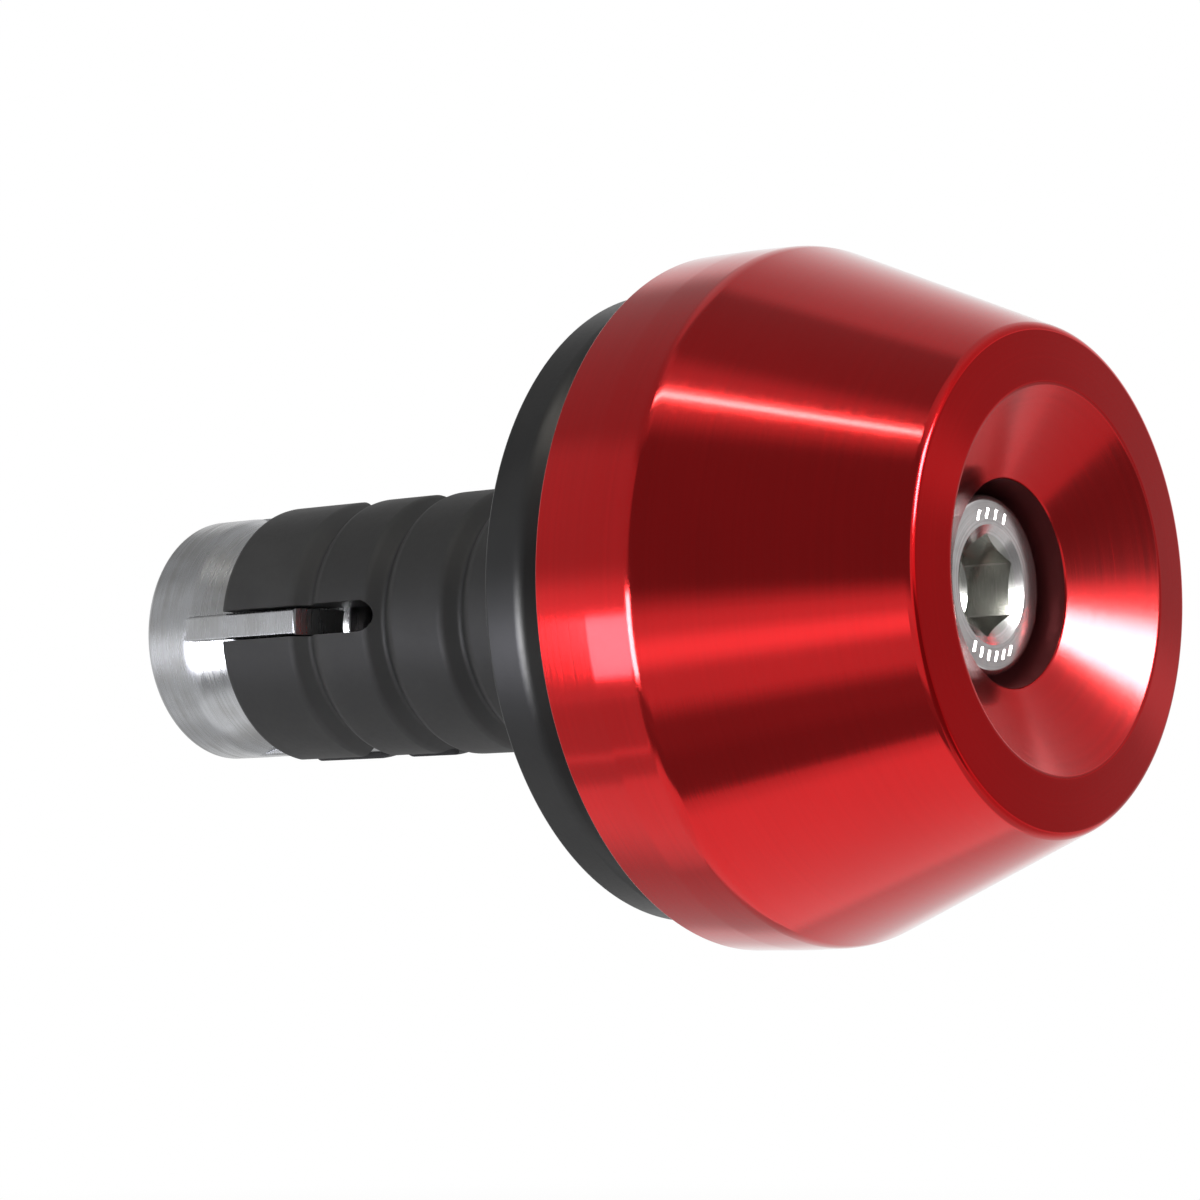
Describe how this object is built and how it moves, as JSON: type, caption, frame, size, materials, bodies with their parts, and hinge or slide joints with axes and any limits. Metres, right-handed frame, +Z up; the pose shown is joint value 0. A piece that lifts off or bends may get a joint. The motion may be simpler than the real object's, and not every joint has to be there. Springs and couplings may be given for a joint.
{
  "type": "bar end weight",
  "caption": "Red anodised truncated-cone handlebar end weight with a dished front, sunk socket cap screw, spacer ring and rubber expander that grips inside the bar.",
  "frame": {"origin": "on the axis, in the plane of the boss's end face that seats on the end of the handlebar", "axes": "+X along the axis out of the front face, -X into the handlebar, +Z up with the weight on a level bar"},
  "size_m": [0.0654, 0.04, 0.04],
  "materials": {
    "red_anodised_aluminium": "turned and bright red anodised, with fine turning lines",
    "grey_rubber": "satin dark grey rubber",
    "stainless_steel": "bright stainless steel",
    "zinc_plated_steel": "bright zinc plate",
    "black_rubber": "matte black moulded rubber"
  },
  "bodies": {
    "root": {"weight_body": "red_anodised_aluminium", "spacer_ring": "grey_rubber", "cap_screw": "stainless_steel", "clamp_washer": "zinc_plated_steel", "rubber_expander": "black_rubber", "cone_nut": "zinc_plated_steel"}
  },
  "joints": []
}
